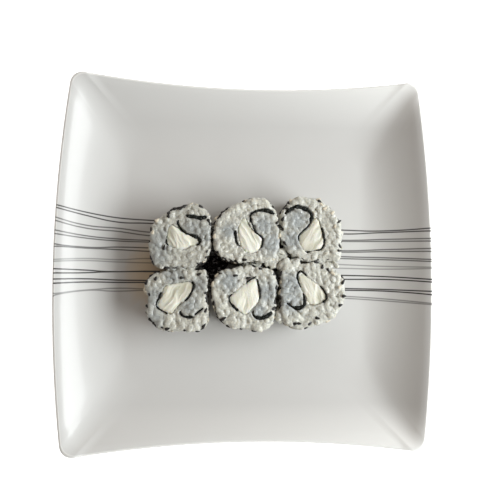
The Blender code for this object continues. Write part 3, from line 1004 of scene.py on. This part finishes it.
riceFinish = makeFinish("cooked rice", riceLook, grain=grainShare)
for number, roll in enumerate(placed):
    made = riceGrains(roll, np.random.default_rng(firstDraws["rice"] + number))
    grains = addPiece("riceGrains-" + roll["letter"], *made, riceFinish)
    dress(grains, "rice", "rice-" + roll["letter"])
    filler = makeRiceBody(roll, made, riceFinish)
    shadeRice(roll, grains)
    # painted shade: the starch in the gaps between grains is darker
    shadeRice(roll, filler, riceBody["shade"])
    roll["rice"] = (grains, filler)
    print("rice", roll["letter"], "made,", len(made[1]), "and", len(filler.data.polygons), "faces")


# nori: a thin crinkled sheet along its route, sunk under the rice where it is smeared over

noriLook = {
    "surface": {"Roughness": 0.5, "IOR": 1.45, "Specular IOR Level": 0.25},
    "tones": {"Light": (0.012, 0.014, 0.009, 1), "Dark": (0.003, 0.004, 0.003, 1), "Scale": 600.0, "Spread": 0.4},
    "relief": {"Scale": 1400.0, "Stretch": 0.3},
    "depth": 0.0001,
}


def makeNori(roll, material):
    given, route, normals, half = noriSheet, roll["route"], roll["normals"], sheetHalf(roll)
    ragged = wobble(route, given["edgeSize"] * mm, patterns["edge"])
    top = roll["top"] + (given["over"] - roll["hidden"] * given["sunk"] + ragged * given["edge"]) * mm
    rows = []
    for rise in given["rows"]:
        height = roll["low"] + (top - roll["low"]) * rise
        sway = wobble(np.column_stack([route, height]), given["crinkleSize"] * mm, patterns["crinkle"])
        middle = route + normals * (sway * given["crinkle"] * mm)[:, None]
        slim = (half * (given["edgeThin"] if rise == 1 else 1))[:, None]
        rows.append([np.column_stack([middle + normals * slim * side, height]) for side in (-1, 1)])
    # one closed section at each step of the route: up one face, down the other
    around = [row[0] for row in rows] + [row[1] for row in reversed(rows)]
    points = np.stack(around, 1).reshape(-1, 3)
    count, section = len(route), len(around)
    faces = loftFaces(count, section)
    last = (count - 1) * section
    for i in range(1, section - 1):
        faces += [(0, i, i + 1), (last, last + i + 1, last + i)]
    piece = addPiece("noriSheet-" + roll["letter"], points, [(a, c, b) for a, b, c in faces], material)
    dress(piece, "nori", "nori-" + roll["letter"])


noriFinish = makeFinish("damp nori", noriLook)
for roll in placed:
    makeNori(roll, noriFinish)
print("nori made")


# cream cheese: smeared in ridges across the cut

creamCheese = {  # millimetres
    "inset": 0.1,
    "ragged": 0.75,
    "raggedSize": 2.2,
    "dome": 0.6,
    "streak": 0.6,
    "streakSize": (15, 3.3),
    "streakSway": 1.2,
    "streakPower": 8,  # the ridges end near the edge
    "swaySize": 6,
    "crest": 0.6,
    "fine": 0.14,
    "fineSize": (5, 0.8),
    "fold": 0.75,
    "foldSize": (12, 5.5),
    "edgeDrop": 0.55,
    "edgePower": 10,  # the face falls away only near the edge
    "most": 1.35,
    "hollowShade": 0.8,
    "hollowFrom": 0.55,
    "foldShade": 0.5,
    "sideShade": 0.6,
    "sideRows": (8, -4),  # heights over the foot and under the cut
    "shares": 36,
    "around": 150,
}

cheeseLook = {
    "surface": {"Roughness": 0.4, "IOR": 1.45, "Subsurface Weight": 0.3, "Subsurface Scale": 0.0025,
                "Subsurface Radius": (1.0, 0.75, 0.45)},
    "tones": {"Light": (0.86, 0.85, 0.755, 1), "Dark": (0.79, 0.78, 0.665, 1), "Scale": 260.0, "Spread": 0.5},
    # shade: a darker, yellower tone for painted shade in the grooves, in low folds, on the sides and over whole rolls
    "layers": {"shade": (0.50, 0.49, 0.38, 1)},
    "relief": {"Scale": 1100.0, "Detail": 5.0},
    "depth": 0.00012,
}


def streaked(spots, size, seed):
    # ridged noise with streaks of the given length and width: 1 on the crests and 0 in the grooves
    return (1 - np.abs(wobble(spots / size, 1, seed))) ** 2


def makeCheese(roll, material):
    given, filling = creamCheese, roll["filling"]
    marks = np.linspace(0, len(filling), given["around"], endpoint=False)
    ends = np.vstack([filling, filling[:1]])
    outline = np.column_stack([np.interp(marks, np.arange(len(ends)), side) for side in ends.T])
    outward = outwardNormals(outline)
    ragged = wobble(outline, given["raggedSize"] * mm, patterns["ragged"]) * given["ragged"]
    upper = outline - outward * (given["inset"] - ragged)[:, None] * mm
    lower = outline - outward * given["inset"] * mm
    middle = upper.mean(0)
    turn = math.radians(roll["ridges"])
    axes = np.array(((math.cos(turn), -math.sin(turn)), (math.sin(turn), math.cos(turn))))
    foot, neck = given["sideRows"]
    rings = [np.column_stack([lower, np.full(len(outline), height)])
             for height in (roll["low"], roll["low"] + foot * mm, roll["top"] + neck * mm)]
    # painted shade on the cheese's sides
    shades = [np.full(len(outline), given["sideShade"])] * len(rings)
    seed = ord(roll["letter"])
    for step in range(given["shares"]):
        share = math.cos(math.pi / 2 * step / given["shares"])
        spots = middle + (upper - middle) * share
        local = (spots - middle) @ axes / mm
        local[:, 1] += wobble(spots, given["swaySize"] * mm, patterns["sway"]) * given["streakSway"]
        crest = streaked(local, given["streakSize"], seed)
        fold = wobble(local / given["foldSize"], 1, seed)
        lift = given["dome"] * (1 - share**2) ** 0.5 - given["edgeDrop"] * share ** given["edgePower"]
        lift += given["streak"] * roll["streaks"] * (crest - given["crest"]) * (1 - share ** given["streakPower"])
        lift += given["fine"] * (streaked(local, given["fineSize"], seed + 2) - given["crest"]) + given["fold"] * fold
        rings.append(np.column_stack([spots, roll["top"] + np.minimum(lift, given["most"]) * mm]))
        # painted shade: darker in the grooves and the low folds, and over the whole roll
        hollow = given["hollowShade"] * (given["hollowFrom"] - crest)
        shades.append(np.clip(roll["cheeseShade"] + hollow - given["foldShade"] * fold, 0, 1))
    points = np.vstack(rings + [(*middle, rings[-1][:, 2].mean()), (*middle, roll["low"])])
    around = given["around"]
    faces = loftFaces(len(rings), around) + fanFaces((len(rings) - 1) * around, around, len(points) - 2)
    faces += fanFaces(0, around, len(points) - 1, flip=True)
    piece = addPiece("creamCheese-" + roll["letter"], points, faces, material)
    addShade(piece, np.append(np.hstack(shades), (0, given["sideShade"])))
    dress(piece, "cream-cheese", "cream-cheese-" + roll["letter"])


cheeseFinish = makeFinish("cream cheese", cheeseLook)
for roll in placed:
    makeCheese(roll, cheeseFinish)
print("cream cheese made")


# sesame: black and pale seeds pressed in the outside of each roll, and more black seeds in the deep gap between rolls
# a, b, d and e, partly a dark stand-in for the shade there

sesame = {  # millimetres
    "length": (3.1, 3.9),
    "width": (1.8, 2.25),
    "thick": (0.8, 1),
    "taper": (0.38, 0.25),  # how fast a seed narrows, and from where
    "rings": 7,
    "around": 8,
    "spacing": 3.3,
    "tries": 210,
    "proud": 0.55,
    "tip": 0.15,
    "aside": 0.3,  # a seed this close to a neighbour's rice is left out
    "paleShare": 0.28,
    # crowd, and the seeds laid on the plate on the next line: extra black seeds on the walls facing the deep gap
    # between rolls a, b, d and e, and on the plate in it; partly seeds, partly a dark stand-in for its shade
    "crowd": {"middle": (-22.5, -3), "reach": 11, "spacing": 2.2, "tries": 900},
    "gapShadeSeeds": {"middle": (-22.5, -3), "reach": 8, "spacing": 1.9, "tries": 160, "tip": 0.2, "heights": (0.4, 1.1)},
    "resting": {"from": 5, "lift": 0.04, "deepest": 2.4, "stepIn": 0.35, "stepsIn": 12},
}

seedLook = {
    "surface": {"Roughness": 0.42, "IOR": 1.46},
    "tones": {"Scale": 700.0, "Spread": 0.5},
    "relief": {"Scale": 2600.0, "Detail": 2.0},
    "depth": 0.00006,
}

seedTones = {
    "black": {"Light": (0.022, 0.019, 0.015, 1), "Dark": (0.006, 0.005, 0.004, 1)},
    "pale": {"Light": (0.70, 0.65, 0.52, 1), "Dark": (0.56, 0.49, 0.37, 1)},
}


def seedBody(rings, around):
    # a flat teardrop along X
    points, faces = grainBody(rings, around)
    slope, start = sesame["taper"]
    taper = 1 - slope * (points[:, 0] + start)
    points[:, 1] *= taper
    points[:, 2] *= taper**0.5
    return points, faces


def restingPlace(roll, x, y, graph):
    # where a seed dropped near a spot lies on the roll's rice, and the way it faces; the spot moves in from the edge
    given = sesame["resting"]
    spot = roll["shift"] + np.array((x, y)) * mm
    inward = (roll["middle"] - spot) / np.linalg.norm(roll["middle"] - spot)
    down = Vector((0, 0, -1))
    for step in range(given["stepsIn"]):
        start = Vector((*(spot + inward * step * given["stepIn"] * mm), roll["top"] + given["from"] * mm))
        hits = [piece.ray_cast(start, down, depsgraph=graph) for piece in roll["rice"]]
        found, place, normal, _ = max(hits, key=lambda hit: hit[1].z if hit[0] else -1)
        if found and place.z > roll["top"] - given["deepest"] * mm:
            break
    outward = (normal - down).normalized()
    return place + outward * given["lift"] * mm, outward


def makeSeeds():
    given, crowd, gapShadeSeeds = sesame, sesame["crowd"], sesame["gapShadeSeeds"]
    places, turns, pale = [], [], []
    graph = bpy.context.evaluated_depsgraph_get()
    for number, roll in enumerate(placed):
        dice = np.random.default_rng(firstDraws["sesame"] + number)
        others = [other["outline"] for other in placed if other is not roll]
        sides = [(*spot, dice.random() < given["paleShare"])
                 for spot in sideSpots(roll, given["spacing"] * mm, given["tries"], dice)]
        # extra black seeds on the walls facing the gap, partly a dark stand-in for its shade
        for mark, height in sideSpots(roll, crowd["spacing"] * mm, crowd["tries"], dice):
            spot = roll["outline"][int(mark) % len(roll["outline"])] / mm
            if np.linalg.norm(spot - crowd["middle"]) < crowd["reach"]:
                sides.append((mark, height, False))
        for mark, height, isPale in sides:
            place, outward = sidePlace(roll, mark, height, -given["proud"] * mm)
            spot = np.array([place[:2]]) + given["aside"] * mm * np.array([outward[:2]])
            if any(inside(outline, spot)[0] for outline in others):
                continue
            places.append(place)
            turns.append(laidFlat(outward, given["tip"], dice))
            pale.append(isPale)
        for kind in ("seeds", "paleSeeds"):
            for x, y, turn in roll[kind]:
                place, outward = restingPlace(roll, x, y, graph)
                along = Vector((math.cos(math.radians(turn)), math.sin(math.radians(turn)), 0))
                places.append(place)
                turns.append(turnTo(along - outward * along.dot(outward), outward))
                pale.append(kind == "paleSeeds")
    # black seeds laid on the plate in the gap between the rolls, partly a dark stand-in for the shade in it
    dice = np.random.default_rng(firstDraws["gapShadeSeeds"])
    middle, reach = np.array(gapShadeSeeds["middle"]) * mm, gapShadeSeeds["reach"] * mm
    for height in gapShadeSeeds["heights"]:
        spots = scatter(lambda dice: dice.uniform(middle - reach, middle + reach),
                        lambda spot: not any(inside(roll["outline"], spot[None])[0] for roll in placed),
                        gapShadeSeeds["spacing"] * mm, gapShadeSeeds["tries"], dice)
        for x, y in spots:
            outward = Vector((*dice.normal(0, gapShadeSeeds["tip"], 2), 1)).normalized()
            places.append((x, y, plateTop + height * mm))
            turns.append(turnTo(turned(outward, dice.uniform(0, math.tau)), outward))
            pale.append(False)
    places, turns, pale = np.array(places), np.array(turns), np.array(pale)
    sizes = np.column_stack([dice.uniform(*given[side], len(places)) / 2 for side in ("length", "width", "thick")])
    points, faces = seedBody(given["rings"], given["around"])
    for kind, chosen, slotName in (("black", ~pale, "nori"), ("pale", pale, "rice")):
        tones = {**seedLook["tones"], **seedTones[kind]}
        copies, joined = joinCopies(points, faces, sizes[chosen] * mm, turns[chosen], places[chosen])
        copies[..., 2] = np.maximum(copies[..., 2], lowest)
        finish = makeFinish(kind + " sesame", {**seedLook, "tones": tones})
        dress(addPiece(kind + "Sesame", copies.reshape(-1, 3), joined, finish), slotName)
        print(kind, "sesame,", int(chosen.sum()), "seeds")


makeSeeds()


# floor, light and camera

setting = {
    "floorHalf": 3.0,
    "window": {"place": (0.81, -0.06, 0.61), "size": (1.0, 0.47), "power": 14.3, "tint": (0.97, 1.0, 1.015)},
    "fill": {"place": (-0.3, 1.1, 1.0), "size": (1.6, 1.2), "power": 3.0, "tint": (1.0, 0.88, 0.78)},
    "air": {"left": (0.16, 0.10, 0.06, 1), "right": (0.25, 0.265, 0.275, 1), "horizon": (0.85, 0.88, 0.90, 1),
            "facingPower": 2.0, "glowPower": 2.0, "horizonPower": 5.0},
    "cameraPlace": (-23.9, -16.2, 362.4),
    "cameraTilt": (3.99, -4.27, 0.29),
    "lens": 36,
}


floorLook = {
    "surface": {"Roughness": 0.7, "Emission Color": (1, 1, 1, 1), "Emission Strength": 0.95},
    "tones": {"Light": (0.93, 0.93, 0.93, 1), "Dark": (0.92, 0.92, 0.92, 1), "Scale": 3.0, "Spread": 0.6},
}


def makeFloor():
    half = setting["floorHalf"]
    corners = [(-half, -half, 0), (half, -half, 0), (half, half, 0), (-half, half, 0)]
    addPiece("floor", corners, [(0, 1, 2, 3)], makeFinish("pale floor", floorLook), smooth=False)


def addPanel(name, given):
    # a soft area light that faces the plate
    lamp = bpy.data.lights.new(name, "AREA")
    lamp.shape = "RECTANGLE"
    lamp.size, lamp.size_y = given["size"]
    lamp.energy = given["power"]
    lamp.color = given["tint"]
    light = bpy.data.objects.new(name, lamp)
    light.location = given["place"]
    light.rotation_euler = (-Vector(given["place"])).to_track_quat("-Z", "Y").to_euler()
    bpy.context.scene.collection.objects.link(light)


def makeAir():
    # pale air: warmer on the left, brightest near the horizon
    given = setting["air"]
    world = bpy.data.worlds.new("room")
    bpy.context.scene.world = world
    world.use_nodes = True
    tree = world.node_tree
    axes = put(tree, "SeparateXYZ", {0: put(tree, "TexCoord").outputs["Generated"]}).outputs
    share = math2(tree, "ADD", math2(tree, "MULTIPLY", axes[0], 0.5), 0.5, clamp=True)
    level = math2(tree, "SUBTRACT", 1.0, math2(tree, "ABSOLUTE", axes[2]), clamp=True)
    facing = math2(tree, "POWER", math2(tree, "ABSOLUTE", axes[1]), given["facingPower"])
    glow = math2(tree, "MULTIPLY", facing, math2(tree, "POWER", level, given["glowPower"]), clamp=True)
    glow = math2(tree, "MAXIMUM", glow, math2(tree, "POWER", level, given["horizonPower"]), clamp=True)
    lit = mixTones(tree, glow, mixTones(tree, share, given["left"], given["right"]), given["horizon"])
    tree.links.new(lit, tree.nodes["Background"].inputs["Color"])


def addCamera():
    lens = bpy.data.cameras.new("camera")
    lens.lens, lens.sensor_width = setting["lens"], 36
    lens.clip_start = 0.01
    camera = bpy.data.objects.new("camera", lens)
    camera.location = Vector(setting["cameraPlace"]) * mm
    camera.rotation_euler = [math.radians(turn) for turn in setting["cameraTilt"]]
    bpy.context.scene.collection.objects.link(camera)
    bpy.context.scene.camera = camera


makeFloor()
addPanel("window", setting["window"])
addPanel("fill", setting["fill"])
makeAir()
addCamera()
bpy.context.scene.view_settings.view_transform = "Standard"
print("floor, light and camera set")
